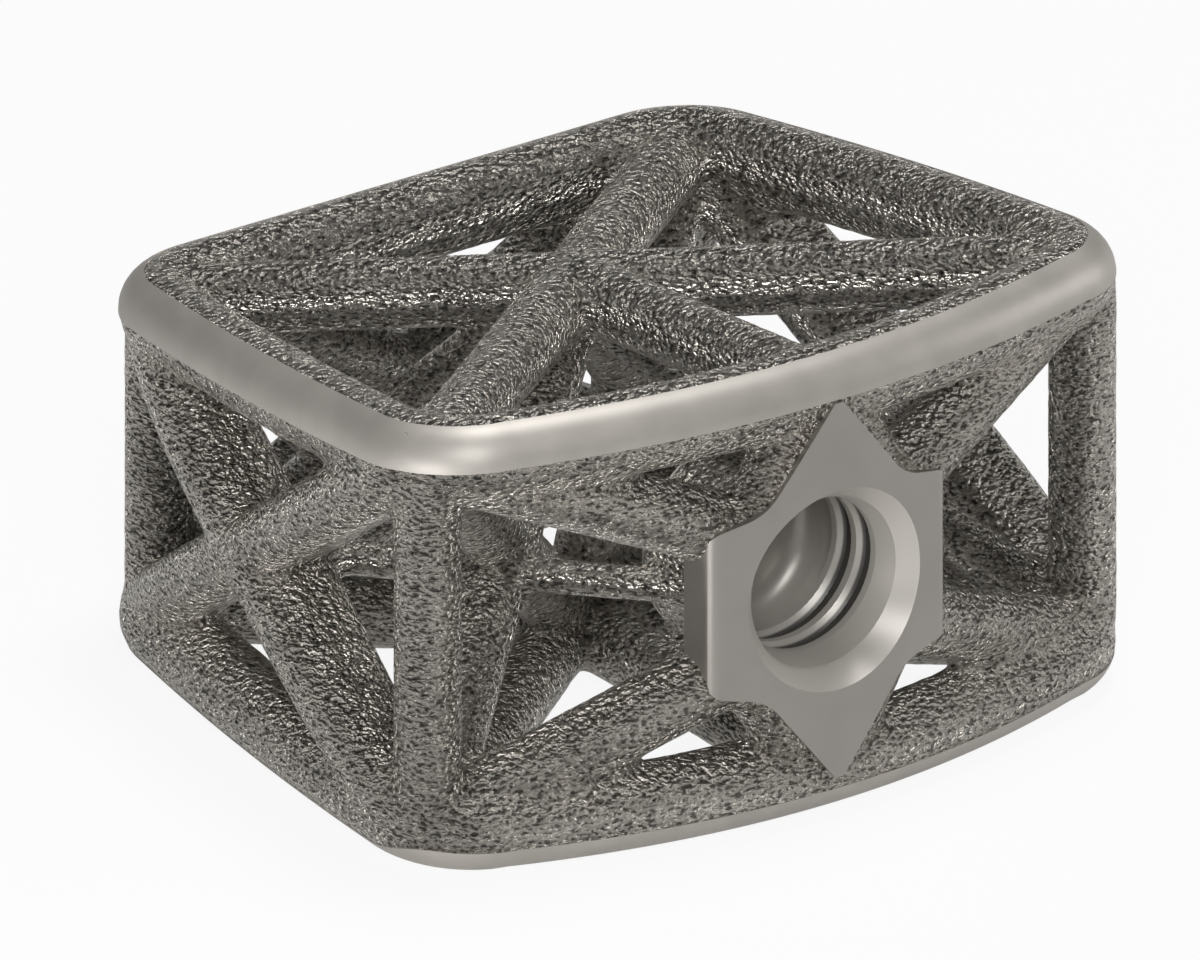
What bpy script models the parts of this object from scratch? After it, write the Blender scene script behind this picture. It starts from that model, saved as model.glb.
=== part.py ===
"""Anterior spinal interbody cage: one printed titanium truss between two rounded end rings.

The cage is modelled in its own symmetric frame (X lateral, -Y anterior, Z up, origin on the
mid-plane) under an empty. The empty leans that frame back by half the lordosis and lifts it,
so that the lower ring lies flat on Z = 0.
"""

import math

import bmesh
import bpy
from mathutils import Matrix, Vector

MM = 0.001

# End rings: a round tube along a rounded trapezium with a bowed front rail.
RING_TUBE_R = 0.785
RING_TUBE_SIDES = 16
FRONT_CORNER_X = 7.86
FRONT_CORNER_Y = -5.28
REAR_CORNER_X = 6.48
REAR_CORNER_Y = 5.48
FRONT_CORNER_R = 1.53
REAR_CORNER_R = 1.43
FRONT_BOW = 1.60
SIDE_BOW = 0.15
FRONT_STEPS = 14
SIDE_STEPS = 4
CORNER_STEPS = 6

# Wedge shape: each ring leans by half the lordosis about the middle of the cage.
HALF_LORDOSIS_DEG = 3.5
RING_HALF_HEIGHT = 3.41

# Shift of the symmetric frame that puts the world origin under the middle of the box.
SEAT_Y = 0.764

# Corner posts between the rings.
POST_R = 0.62
FRONT_POST_X = 7.70
FRONT_POST_Y = -5.12
REAR_POST_X = 6.17
REAR_POST_Y = 5.23

# Five arms in each ring's plane, meeting at a hub behind the middle.
ARM_R = 0.655
HUB_Y = 0.56
HUB_BALL_R = 0.70

# Crossed braces in the side walls are twin struts: a straight one, and one that bows outwards.
SIDE_INNER_R = 0.63
SIDE_OUTER_R = 0.655
SIDE_OUTER_BOW = 0.67
SIDE_OUTER_STEPS = 12

# Crossed braces in the rear wall.
REAR_BRACE_R = 0.665
REAR_BRACE_OUTSET = 0.35

# Struts through the inside, from each hub to the far ring's corners, and a thin tie to the boss.
INNER_R = 0.64
TIE_R = 0.285
TIE_Z = -0.26
TIE_END_X = 1.75
TIE_END_Y = -5.55

# Front struts: from the corners to the boss, and along the star plate's four long edges.
FRONT_STRUT_R = 0.69
FRONT_STRUT_END_X = 1.98
FRONT_STRUT_END_Y = -7.03
FRONT_STRUT_END_Z = 1.42
STAR_STRUT_R = 0.53
STAR_STRUT_TOP_X = 0.34
STAR_STRUT_TOP_Z = 3.65
STAR_STRUT_END_X = 1.55
STAR_STRUT_END_Z = 1.75
STAR_STRUT_Y = -7.12

STRUT_SIDES = 14
STRUT_INSET = 0.22
STRUT_ROLL_STEP_DEG = 4.3

# Inserter boss: a star-shaped plate with a gently rounded face, on a round body.
PLATE_FACE_Y = -7.74
PLATE_FACE_R = 12.4
PLATE_DEPTH = 0.82
PLATE_TRIM_MARGIN = 0.5
STAR_TIP_Z = 3.80
STAR_TIP_HALF_WIDTH = 0.10
NOTCH_X = 1.63
NOTCH_Z = 1.90
NOTCH_R = 0.80
ARM_X = 2.79
ARM_Z = 1.65
ARM_EDGE_R = 0.26
ARM_OVERRUN = 0.3
BLOCK_MARGIN = 0.04
BLOCK_OVERLAP = 0.1
BLOCK_BACK_RATIO = 0.65
BLOCK_BACK_DEPTH = 2.20
BODY_R = 2.08
BODY_DEPTH = 3.95
BODY_CHAMFER = 0.55
BODY_SIDES = 40
FACE_STEPS = 12

# Inserter hole: countersink, threaded bore and a blind end.
COUNTERSINK_R = 2.02
COUNTERSINK_DEPTH = 0.40
BORE_R = 1.60
BORE_DEPTH = 3.35
BORE_FLOOR_FILLET = 0.40
FLOOR_FILLET_STEPS = 3
HOLE_LEAD = 0.6
HOLE_SIDES = 40

TITANIUM_COLOUR = (0.32, 0.30, 0.28, 1.0)
TITANIUM_ROUGHNESS = 0.42


def clear_scene():
    for obj in list(bpy.data.objects):
        bpy.data.objects.remove(obj, do_unlink=True)


def new_collection(name):
    coll = bpy.data.collections.new(name)
    bpy.context.scene.collection.children.link(coll)
    return coll


def titanium():
    mat = bpy.data.materials.new("printed_titanium")
    mat.use_nodes = True
    shader = mat.node_tree.nodes["Principled BSDF"]
    shader.inputs["Base Color"].default_value = TITANIUM_COLOUR
    shader.inputs["Metallic"].default_value = 1.0
    shader.inputs["Roughness"].default_value = TITANIUM_ROUGHNESS
    return mat


def ring_z(y):
    """Height of the upper ring's centre line above the mid-plane at depth y, in mm."""
    return RING_HALF_HEIGHT - y * math.tan(math.radians(HALF_LORDOSIS_DEG))


def add_mesh(name, bm, coll, parent, matrix=None):
    """A new object from a bmesh given in mm, placed by a matrix in mm under the parent."""
    bmesh.ops.recalc_face_normals(bm, faces=bm.faces)
    bmesh.ops.scale(bm, vec=(MM, MM, MM), verts=bm.verts)
    mesh = bpy.data.meshes.new(name)
    bm.to_mesh(mesh)
    bm.free()
    obj = bpy.data.objects.new(name, mesh)
    coll.objects.link(obj)
    obj.parent = parent
    if matrix is not None:
        loc, rot, _ = matrix.decompose()
        obj.location = loc * MM
        obj.rotation_euler = rot.to_euler()
    return obj


def as_operand(obj):
    obj.hide_render = True
    obj.display_type = "WIRE"
    return obj


def front_rail_y(x):
    """Depth of the bowed front rail's centre line at lateral position x."""
    return FRONT_CORNER_Y - FRONT_BOW * (1.0 - (x / FRONT_CORNER_X) ** 2)


def rounded(corner, first, second, radius, steps=CORNER_STEPS):
    """A corner's rounding, from the edge leaving along `first` to the edge leaving along `second`."""
    first, second = first.normalized(), second.normalized()
    angle = first.angle(second)
    cut = radius / math.tan(angle / 2)
    centre = corner + (first + second).normalized() * (radius / math.sin(angle / 2))
    start = corner + first * cut - centre
    end = corner + second * cut - centre
    a0 = math.atan2(start.y, start.x)
    turn = (math.atan2(end.y, end.x) - a0 + math.pi) % (2 * math.pi) - math.pi
    angles = [a0 + turn * k / steps for k in range(steps + 1)]
    return [centre + radius * Vector((math.cos(a), math.sin(a))) for a in angles]


def as_mesh(curve_obj, name):
    """The curve object's evaluated mesh, welded shut, as a new object in the curve's place."""
    bpy.context.view_layer.update()
    depsgraph = bpy.context.evaluated_depsgraph_get()
    mesh = bpy.data.meshes.new_from_object(curve_obj.evaluated_get(depsgraph))
    bm = bmesh.new()
    bm.from_mesh(mesh)
    bmesh.ops.remove_doubles(bm, verts=bm.verts, dist=1e-7)
    bmesh.ops.recalc_face_normals(bm, faces=bm.faces)
    bm.to_mesh(mesh)
    bm.free()
    obj = bpy.data.objects.new(name, mesh)
    curve_obj.users_collection[0].objects.link(obj)
    obj.parent = curve_obj.parent
    obj.matrix_world = curve_obj.matrix_world
    bpy.data.objects.remove(curve_obj, do_unlink=True)
    return obj


def tube(name, points, radius, sides, coll, parent, cyclic=False, tilt=0.0):
    """A round tube along points in mm, as a mesh."""
    curve = bpy.data.curves.new(name + "_path", "CURVE")
    curve.dimensions = "3D"
    curve.twist_mode = "Z_UP"
    curve.bevel_depth = radius * MM
    curve.bevel_resolution = sides // 2 - 2
    curve.use_fill_caps = not cyclic
    spline = curve.splines.new("POLY")
    spline.points.add(len(points) - 1)
    for point, p in zip(spline.points, points):
        point.co = (p.x * MM, p.y * MM, p.z * MM, 1.0)
        point.tilt = tilt
    spline.use_cyclic_u = cyclic
    path = bpy.data.objects.new(name + "_path", curve)
    coll.objects.link(path)
    path.parent = parent
    return as_mesh(path, name)


def prism(name, outline, half_thickness, coll, parent, matrix):
    """A flat outline extruded both ways along its own Z."""
    curve = bpy.data.curves.new(name + "_outline", "CURVE")
    curve.dimensions = "2D"
    curve.fill_mode = "BOTH"
    curve.extrude = half_thickness * MM
    spline = curve.splines.new("POLY")
    spline.points.add(len(outline) - 1)
    for point, p in zip(spline.points, outline):
        point.co = (p.x * MM, p.y * MM, 0.0, 1.0)
    spline.use_cyclic_u = True
    flat = bpy.data.objects.new(name + "_outline", curve)
    coll.objects.link(flat)
    flat.parent = parent
    loc, rot, _ = matrix.decompose()
    flat.location = loc * MM
    flat.rotation_euler = rot.to_euler()
    return as_operand(as_mesh(flat, name))


def ring_outline():
    """Centre line of a ring in plan: right half from front to rear, then its mirror image."""
    front = Vector((FRONT_CORNER_X, FRONT_CORNER_Y))
    rear = Vector((REAR_CORNER_X, REAR_CORNER_Y))
    rail_slope = Vector((-1.0, -2 * FRONT_BOW / FRONT_CORNER_X))
    front_arc = rounded(front, rail_slope, rear - front, FRONT_CORNER_R)
    rear_arc = rounded(rear, front - rear, Vector((-1.0, 0.0)), REAR_CORNER_R)
    half = []
    reach = front_arc[0].x
    for k in range(1, FRONT_STEPS // 2):
        x = reach * 2 * k / FRONT_STEPS
        half.append(Vector((x, front_rail_y(x))))
    half += front_arc
    start, end = front_arc[-1], rear_arc[0]
    for k in range(1, SIDE_STEPS):
        t = k / SIDE_STEPS
        half.append(start.lerp(end, t) + Vector((SIDE_BOW * 4 * t * (1 - t), 0.0)))
    half += rear_arc
    mirror = [Vector((-p.x, p.y)) for p in reversed(half)]
    return [Vector((0.0, front_rail_y(0.0)))] + half + mirror


def ring(name, side, coll, parent):
    """One end ring, side +1 for the upper, with a flat facet of its tube facing up and down."""
    path = [Vector((p.x, p.y, 0.0)) for p in ring_outline()]
    tilt = math.pi / RING_TUBE_SIDES
    obj = tube(name, path, RING_TUBE_R, RING_TUBE_SIDES, coll, parent, cyclic=True, tilt=tilt)
    obj.location = (0.0, 0.0, side * RING_HALF_HEIGHT * MM)
    obj.rotation_euler = (-side * math.radians(HALF_LORDOSIS_DEG), 0.0, 0.0)
    return obj


def strut(name, start, end, radius, coll, parent, start_inset=0.0, end_inset=STRUT_INSET):
    """A straight round strut between two points, drawn in a little at its ends."""
    start, end = Vector(start), Vector(end)
    along = (end - start).normalized()
    start = start + along * start_inset
    end = end - along * end_inset
    bm = bmesh.new()
    bmesh.ops.create_cone(
        bm, cap_ends=True, segments=STRUT_SIDES, radius1=radius, radius2=radius, depth=(end - start).length
    )
    across = Vector((1.0, 0.0, 0.0))
    if abs(along.x) > 0.7:
        across = Vector((0.0, 0.0, 1.0))
    wide = (across - along * across.dot(along)).normalized()
    # Each strut is rolled a little further than the last, so that crossing facets never line up.
    roll = Matrix.Rotation(math.radians(STRUT_ROLL_STEP_DEG * len(coll.objects)), 4, "Z")
    turn = Matrix((wide, along.cross(wide), along)).transposed().to_4x4() @ roll
    obj = add_mesh(name, bm, coll, parent, Matrix.Translation((start + end) / 2) @ turn)
    return as_operand(obj)


def ball(name, centre, radius, coll, parent):
    bm = bmesh.new()
    bmesh.ops.create_uvsphere(bm, u_segments=STRUT_SIDES, v_segments=8, radius=radius)
    return as_operand(add_mesh(name, bm, coll, parent, Matrix.Translation(Vector(centre))))


def corner_node(front, sx, sz):
    """A truss node: where a post's axis meets a ring's plane."""
    x = FRONT_POST_X if front else REAR_POST_X
    y = FRONT_POST_Y if front else REAR_POST_Y
    return Vector((sx * x, y, sz * ring_z(y)))


def hub_node(sz):
    return Vector((0.0, HUB_Y, sz * ring_z(HUB_Y)))


def bowed_brace(name, rear, front, sx, coll, parent):
    """A brace between two nodes that swings outwards soon after each end."""
    points = []
    for k in range(SIDE_OUTER_STEPS + 1):
        t = k / SIDE_OUTER_STEPS
        out = SIDE_OUTER_BOW * (1.0 - (2 * t - 1) ** 4)
        points.append(rear.lerp(front, t) + Vector((sx * out, 0.0, 0.0)))
    tilt = math.radians(STRUT_ROLL_STEP_DEG * len(coll.objects))
    return as_operand(tube(name, points, SIDE_OUTER_R, STRUT_SIDES, coll, parent, tilt=tilt))


def posts_and_side_walls(coll, parent):
    for side, sx in (("left", -1), ("right", 1)):
        for end, front in (("front", True), ("rear", False)):
            top, bottom = corner_node(front, sx, 1), corner_node(front, sx, -1)
            strut(f"post_{end}_{side}", bottom, top, POST_R, coll, parent, end_inset=0.0)
        for level, sz in (("high", 1), ("low", -1)):
            rear, front = corner_node(False, sx, sz), corner_node(True, sx, -sz)
            name = f"side_inner_{level}_{side}"
            strut(name, rear, front, SIDE_INNER_R, coll, parent, start_inset=STRUT_INSET)
            bowed_brace(f"side_outer_{level}_{side}", rear, front, sx, coll, parent)


def ring_arms(coll, parent):
    for level, sz in (("upper", 1), ("lower", -1)):
        hub = hub_node(sz)
        ball(f"hub_{level}", hub, HUB_BALL_R, coll, parent)
        mid_y = front_rail_y(0.0)
        strut(f"arm_{level}_mid", hub, (0.0, mid_y, sz * ring_z(mid_y)), ARM_R, coll, parent)
        for side, sx in (("left", -1), ("right", 1)):
            for end, front in (("front", True), ("rear", False)):
                node = corner_node(front, sx, sz)
                strut(f"arm_{level}_{end}_{side}", hub, node, ARM_R, coll, parent)


def rear_wall(coll, parent):
    outset = Vector((0.0, REAR_BRACE_OUTSET, 0.0))
    for side, sx in (("left", -1), ("right", 1)):
        top = corner_node(False, sx, 1) + outset
        bottom = corner_node(False, -sx, -1) + outset
        strut(f"rear_brace_{side}", top, bottom, REAR_BRACE_R, coll, parent, start_inset=STRUT_INSET)


def inner_struts(coll, parent):
    for level, sz in (("upper", 1), ("lower", -1)):
        for side, sx in (("left", -1), ("right", 1)):
            for end, front in (("front", True), ("rear", False)):
                node = corner_node(front, sx, -sz)
                strut(f"inner_{level}_{end}_{side}", hub_node(sz), node, INNER_R, coll, parent)
    for side, sx in (("left", -1), ("right", 1)):
        cross = side_crossing(sx)
        end = Vector((sx * TIE_END_X, TIE_END_Y, TIE_Z))
        strut(f"tie_{side}", cross, end, TIE_R, coll, parent, end_inset=0.0)


def side_crossing(sx):
    """Where the inner braces of a side wall cross, at the tie's height."""
    rear, front = corner_node(False, sx, 1), corner_node(True, sx, -1)
    point = rear.lerp(front, rear.z / (rear.z - front.z))
    return Vector((point.x, point.y, TIE_Z))


def front_struts(coll, parent):
    for level, sz in (("upper", 1), ("lower", -1)):
        for side, sx in (("left", -1), ("right", 1)):
            node = corner_node(True, sx, sz)
            end = Vector((sx * FRONT_STRUT_END_X, FRONT_STRUT_END_Y, sz * FRONT_STRUT_END_Z))
            strut(f"front_{level}_{side}", end, node, FRONT_STRUT_R, coll, parent)
            ball(f"front_end_{level}_{side}", end, FRONT_STRUT_R, coll, parent)
            top = Vector((sx * STAR_STRUT_TOP_X, STAR_STRUT_Y, sz * STAR_STRUT_TOP_Z))
            notch = Vector((sx * STAR_STRUT_END_X, STAR_STRUT_Y, sz * STAR_STRUT_END_Z))
            strut(f"star_edge_{level}_{side}", top, notch, STAR_STRUT_R, coll, parent, end_inset=0.0)


def plate_sag(x):
    """How far the curved face falls back at lateral position x."""
    return PLATE_FACE_R - math.sqrt(PLATE_FACE_R ** 2 - x ** 2)


def star_outline():
    """The star in X and Z, with its side arms run past the face's rounded edges."""
    notch = Vector((NOTCH_X, NOTCH_Z))
    tip = Vector((STAR_TIP_HALF_WIDTH, STAR_TIP_Z))
    arm = Vector((ARM_X, ARM_Z))
    past = arm + (arm - notch) * ARM_OVERRUN
    quarter = [tip] + rounded(notch, tip - notch, arm - notch, NOTCH_R) + [past]
    right = quarter + [Vector((p.x, -p.y)) for p in reversed(quarter)]
    left = [Vector((-p.x, p.y)) for p in reversed(right)]
    return right + left


def face_section():
    """The plate's section in X and Y: a wide curve in front, rounded into both sides."""
    edge = Vector((ARM_X, PLATE_FACE_Y + plate_sag(ARM_X)))
    slope = Vector((-1.0, -ARM_X / PLATE_FACE_R))
    corner = rounded(edge, slope, Vector((0.0, 1.0)), ARM_EDGE_R)
    reach = corner[0].x
    half = []
    for k in range(1, FACE_STEPS // 2):
        x = reach * 2 * k / FACE_STEPS
        half.append(Vector((x, PLATE_FACE_Y + plate_sag(x))))
    half += corner + [Vector((ARM_X, edge.y + PLATE_DEPTH))]
    mirror = [Vector((-p.x, p.y)) for p in reversed(half)]
    return [Vector((0.0, PLATE_FACE_Y))] + half + mirror


def star_plate(coll, cutters, parent):
    """The plate: the star run from front to back, kept where it lies in the curved face's section."""
    middle = PLATE_FACE_Y + PLATE_DEPTH / 2
    upright = Matrix.Translation((0.0, middle, 0.0)) @ Matrix.Rotation(math.radians(90.0), 4, "X")
    plate = prism("star_plate", star_outline(), PLATE_DEPTH, coll, parent, upright)
    section = prism("face_section", face_section(), STAR_TIP_Z + PLATE_TRIM_MARGIN, cutters, parent, Matrix())
    boolean(plate, "curved_face", "INTERSECT", operand=section)
    return plate


def boss_block(coll, parent):
    """The block behind the plate, tapering from the plate's side arms to the round body."""
    front_y = PLATE_FACE_Y + plate_sag(ARM_X) + PLATE_DEPTH - BLOCK_OVERLAP
    back_y = PLATE_FACE_Y + BLOCK_BACK_DEPTH
    half = ARM_X - BLOCK_MARGIN
    bm = bmesh.new()
    bmesh.ops.create_cone(
        bm,
        cap_ends=True,
        segments=4,
        radius1=half * math.sqrt(2.0) * BLOCK_BACK_RATIO,
        radius2=half * math.sqrt(2.0),
        depth=back_y - front_y,
        matrix=Matrix.Rotation(math.radians(45.0), 4, "Z"),
    )
    bmesh.ops.scale(bm, vec=(1.0, (ARM_Z - BLOCK_MARGIN) / half, 1.0), verts=bm.verts)
    middle = Matrix.Translation((0.0, (front_y + back_y) / 2, 0.0))
    place = middle @ Matrix.Rotation(math.radians(90.0), 4, "X")
    return as_operand(add_mesh("boss_block", bm, coll, parent, place))


def turned(name, profile, sides, coll, parent):
    """A solid of revolution about Y, from a profile of (radius, y) rows from front to back."""
    bm = bmesh.new()
    row = [bm.verts.new((r, 0.0, -y)) for r, y in profile]
    for a, b in zip(row, row[1:]):
        bm.edges.new((a, b))
    turn = Matrix.Rotation(math.radians(90.0), 4, "X")
    obj = add_mesh(name, bm, coll, parent, turn)
    screw = obj.modifiers.new("turn", "SCREW")
    screw.axis = "Z"
    screw.steps = sides
    screw.render_steps = sides
    screw.use_merge_vertices = True
    screw.merge_threshold = 1e-7
    return as_operand(obj)


def boss_body(coll, parent):
    front_y = PLATE_FACE_Y + PLATE_DEPTH / 2
    back_y = PLATE_FACE_Y + BODY_DEPTH
    profile = [
        (0.0, front_y),
        (BODY_R, front_y),
        (BODY_R, back_y - BODY_CHAMFER),
        (BODY_R - BODY_CHAMFER, back_y),
        (0.0, back_y),
    ]
    return turned("boss_body", profile, BODY_SIDES, coll, parent)


def inserter_hole(coll, parent):
    """Cutter for the countersunk blind hole, with a rounded floor."""
    face = PLATE_FACE_Y
    profile = [
        (0.0, face - HOLE_LEAD),
        (COUNTERSINK_R + HOLE_LEAD, face - HOLE_LEAD),
        (BORE_R, face + COUNTERSINK_DEPTH),
        (BORE_R, face + BORE_DEPTH - BORE_FLOOR_FILLET),
    ]
    for k in range(1, FLOOR_FILLET_STEPS + 1):
        a = math.radians(90.0) * k / FLOOR_FILLET_STEPS
        r = BORE_R - BORE_FLOOR_FILLET * (1 - math.cos(a))
        profile.append((r, face + BORE_DEPTH - BORE_FLOOR_FILLET * (1 - math.sin(a))))
    profile.append((0.0, face + BORE_DEPTH))
    return turned("inserter_hole", profile, HOLE_SIDES, coll, parent)


def boolean(obj, name, operation, collection=None, operand=None):
    mod = obj.modifiers.new(name, "BOOLEAN")
    mod.operation = operation
    mod.solver = "EXACT"
    if collection is not None:
        mod.operand_type = "COLLECTION"
        mod.collection = collection
    else:
        mod.object = operand
    return mod


def main():
    clear_scene()
    parts = new_collection("spinal_interbody_cage")
    members = new_collection("truss_members")
    cutters = new_collection("cutters")

    lean = math.radians(HALF_LORDOSIS_DEG)
    apothem = RING_TUBE_R * math.cos(math.pi / RING_TUBE_SIDES)
    frame = bpy.data.objects.new("cage_frame", None)
    parts.objects.link(frame)
    frame.rotation_euler = (-lean, 0.0, 0.0)
    frame.location = (0.0, SEAT_Y * MM, (apothem + RING_HALF_HEIGHT * math.cos(lean)) * MM)

    cage = ring("truss_cage", 1, parts, frame)
    as_operand(ring("ring_lower", -1, members, frame))
    posts_and_side_walls(members, frame)
    ring_arms(members, frame)
    rear_wall(members, frame)
    inner_struts(members, frame)
    front_struts(members, frame)
    boss_block(members, frame)
    boss_body(members, frame)
    star_plate(members, cutters, frame)
    hole = inserter_hole(cutters, frame)

    cage.data.materials.append(titanium())
    boolean(cage, "join_members", "UNION", collection=members)
    boolean(cage, "cut_hole", "DIFFERENCE", operand=hole)


main()
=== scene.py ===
"""Looks for a spinal interbody cage: printed titanium struts, polished rims, a machined star
face and a threaded inserter hole.

Shapes are drawn in millimetres in the cage's own symmetric frame (X lateral, -Y anterior, Z up,
origin on the mid-plane), then leaned back by half the lordosis and lifted onto the row's frame.
"""

import math

import bmesh
import bpy
from mathutils import Matrix, Vector


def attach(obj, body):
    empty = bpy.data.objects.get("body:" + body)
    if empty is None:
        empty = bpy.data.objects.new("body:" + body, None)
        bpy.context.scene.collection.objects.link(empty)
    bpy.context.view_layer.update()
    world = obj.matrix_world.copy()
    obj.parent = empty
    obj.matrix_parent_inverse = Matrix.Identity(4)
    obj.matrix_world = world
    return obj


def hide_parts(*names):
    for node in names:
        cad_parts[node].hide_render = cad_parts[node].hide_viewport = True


bl_info = {
    "name": "Interbody Cage Looks",
    "version": (1, 0, 0),
    "blender": (4, 5, 0),
    "location": "View3D > Sidebar > Cage",
    "description": "Dresses a printed titanium interbody cage and its studio",
    "category": "Object",
}

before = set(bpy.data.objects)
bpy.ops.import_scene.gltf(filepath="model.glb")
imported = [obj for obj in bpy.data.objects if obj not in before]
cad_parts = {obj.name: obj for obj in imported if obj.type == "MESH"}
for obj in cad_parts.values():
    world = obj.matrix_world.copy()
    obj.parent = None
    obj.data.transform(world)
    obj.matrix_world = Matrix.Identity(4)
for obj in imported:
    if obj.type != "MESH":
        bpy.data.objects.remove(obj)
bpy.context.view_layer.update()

NODE = "truss_cage"
BODY = "root"
MM = 0.001

# Outline of an end ring's centre line in plan, in mm.
FRONT_CORNER = (7.86, -5.28)
REAR_CORNER = (6.48, 5.48)
FRONT_CORNER_R = 1.53
REAR_CORNER_R = 1.43
FRONT_BOW = 1.60
SIDE_BOW = 0.15
RAIL_STEPS = 22
SIDE_STEPS = 12
CORNER_STEPS = 12

# Heights and lean of the two rings.
HALF_LORDOSIS_DEG = 3.5
RING_HALF_HEIGHT = 3.41
SEAT_Y = 0.764
SEAT_Z = 4.1735

# Where the struts meet: posts, hubs, side-wall braces and the boss.
FRONT_POST = (7.70, -5.12)
REAR_POST = (6.17, 5.23)
HUB_Y = 0.56
SIDE_OUTER_BOW = 0.67
SIDE_OUTER_STEPS = 16
REAR_BRACE_OUTSET = 0.35
TIE_Z = -0.26
TIE_END = (1.75, -5.55)
FRONT_STRUT_END = (1.98, -6.83, 1.42)
STAR_STRUT_TOP = (0.34, -7.05, 3.65)
STAR_STRUT_END = (1.55, -7.03, 1.75)

# How far strut ends are drawn in, so that they hide in what they join; the arms reach on instead.
STRUT_INSET = 0.22
ARM_REACH = 0.35
POST_INSET = 0.32
REAR_BRACE_INSET = 0.60
BRACE_END_SHARE = 0.035

# Printed skin: sides of a strut, share moved in each softening pass, and low, uneven relief.
STRUT_SIDES = 28
BALL_SUBDIVISIONS = 3
SMOOTH_FACTOR = 0.5
RELIEF_SEED = 3.0
RELIEF_SINK = 1.15

# The skin is cut into quarters by two planes through this point, clear of its symmetry planes.
SPLIT_X = 0.017
SPLIT_Z = 0.13
SPLIT_TOLERANCE = 1e-5

# Polished rims: steps over the band's section, and how far forward the lower one starts and ends rising.
BAND_STEPS = 22
EDGE_TURN = (0.0, 0.60)

# Angles in degrees past which two faces of a piece meet at a sharp edge.
TRUSS_SHARP_DEG = 60.0
RIM_SHARP_DEG = 40.0
STAR_SHARP_DEG = 28.0
HOLE_SHARP_DEG = 30.0

# Star plate, the boss behind it, and its round body.
PLATE_FACE_Y = -7.74
PLATE_FACE_R = 12.4
PLATE_DEPTH = 0.82
STAR_TIP = (0.10, 3.80)
NOTCH = (1.63, 1.90)
NOTCH_R = 1.10
ARM = (2.79, 1.65)
ARM_CORNER_R = 0.34
PLATE_TRIM_MARGIN = 0.5
NOTCH_STEPS = 20
HALF_FACE_STEPS = 24
ARM_EDGE_STEPS = 10
BLOCK_MARGIN = 0.04
BLOCK_OVERLAP = 0.1
BLOCK_BACK_RATIO = 0.65
BLOCK_BACK_DEPTH = 2.20
BODY_R = 2.08
BODY_DEPTH = 3.95
BODY_CHAMFER = 0.55
BODY_SIDES = 64

# Inserter hole: countersink, lead-in, thread and a blind pocket with a rounded floor.
COUNTERSINK_R = 2.02
COUNTERSINK_DEPTH = 0.50
COUNTERSINK_END_R = 1.70
LEAD_R = 1.745
LEAD_STEP = 0.012
THREAD_START = 0.956
THREAD_CREST_R = 1.574
THREAD_ROOT_R = 1.72
THREAD_PITCH = 0.60
THREAD_CREST_SHARE = 0.27
THREAD_BACK_SHARE = 0.10
THREAD_FRONT_SHARE = 0.20
THREAD_TURNS = 2
POCKET_R = 1.80
POCKET_STEP = 0.05
POCKET_FLOOR = 3.35
POCKET_FILLET = 0.48
LINING_WALL = 0.01
LINING_CUT_GAP = 0.09
HOLE_SIDES = 160
MOUTH_STEPS = 6
PITCH_STEPS = 60
FILLET_STEPS = 10
CUTTER_REACH = 0.6

# Where painted shade darkens the bored wall in the thread's root: radii that rise into the root and fall
# towards the pocket, and depths.
GROOVE_SHADE_R = (1.645, 1.69, 1.735, 1.77)
GROOVE_SHADE_DEPTH = (1.02, 1.16, 2.20, 2.26)

# Printed scales: how much finer they are along X, Y and Z, and the sizes of fine ones and of patches.
SCALE_STRETCH = (1.0, 1.0, 1.7)
SCALE_DISTORTION = 0.15
FINE_RATIO = 0.35
PATCH_RATIO = 9.0
SCALE_HEIGHT = 1.6
FINE_HEIGHT = 0.25

# Painted crack shade: where the noise is low, and how much of the tone it and the random patches take.
CRACK_SHADE_RAMP = (0.30, 0.46)
CRACK_SHADE_SHARE = 0.86
PATCH_RAMP = (0.35, 0.65)
CRACK_ROUGHNESS = 0.10
SCALE_SMOOTHNESS = 0.12

# A face is level past the second of these heights of its normal; steep ones are rougher and get more
# painted crack shade, standing in for the grazing light on them.
LEVEL_FACE = (0.45, 0.90)
STEEP_RELIEF = 0.6
# How far painted crack shade spreads further on steep faces.
STEEP_CRACK_SHADE = 0.022

# Smooth metal: cloud and grain sizes and the grain's height in mm, and how much darker clouds are.
CLOUD_RAMP = (0.3, 0.7)
RIM_CLOUD = 0.9
RIM_CLOUD_SHADE = 0.90
RIM_GRAIN = 0.035
FACE_CLOUD = 1.6
FACE_CLOUD_SHADE = 0.93
FACE_GRAIN = 0.04
GRAIN_HEIGHT = 0.0008

# The photograph's camera: an orthographic view, in pixels of the 1200 x 960 frame.
IMAGE_WIDTH_PX = 1200
PX = 0.01874
CAMERA_RIGHT = (0.7966, -0.6045, 0.0)
CAMERA_UP = (0.2350, 0.3097, 0.9213)
AIM_RIGHT_PX = 10.2
AIM_UP_PX = -17.95
CAMERA_DISTANCE = 0.25
CAMERA_CLIP = (0.01, 4.0)

# Shares of plain white in what the camera and reflections see of the floor; the rest is lit paint.
WHITE_SHARE = 0.91
WHITE_SHARE_REFLECTED = 0.40
FLOOR_HALF_WIDTH = 2.0
FLOOR_Z = -1e-5

# The studio in metres: each soft box's name, setting, place and width, and the height they aim at.
SOFT_BOXES = (
    ("key_light", "key", (-0.075, -0.110, 0.100), 0.060),
    ("low_card", "card", (-0.029, -0.013, 0.004), 0.010),
    ("top_light", "top", (0.02, 0.01, 0.15), 0.045),
    ("side_light", "side", (0.13, -0.05, 0.045), 0.05),
)
LIGHT_AIM_Z = 0.004
STUDIO_TINT = (1.0, 0.985, 0.96, 1.0)


# Places in the cage's own frame.


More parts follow.
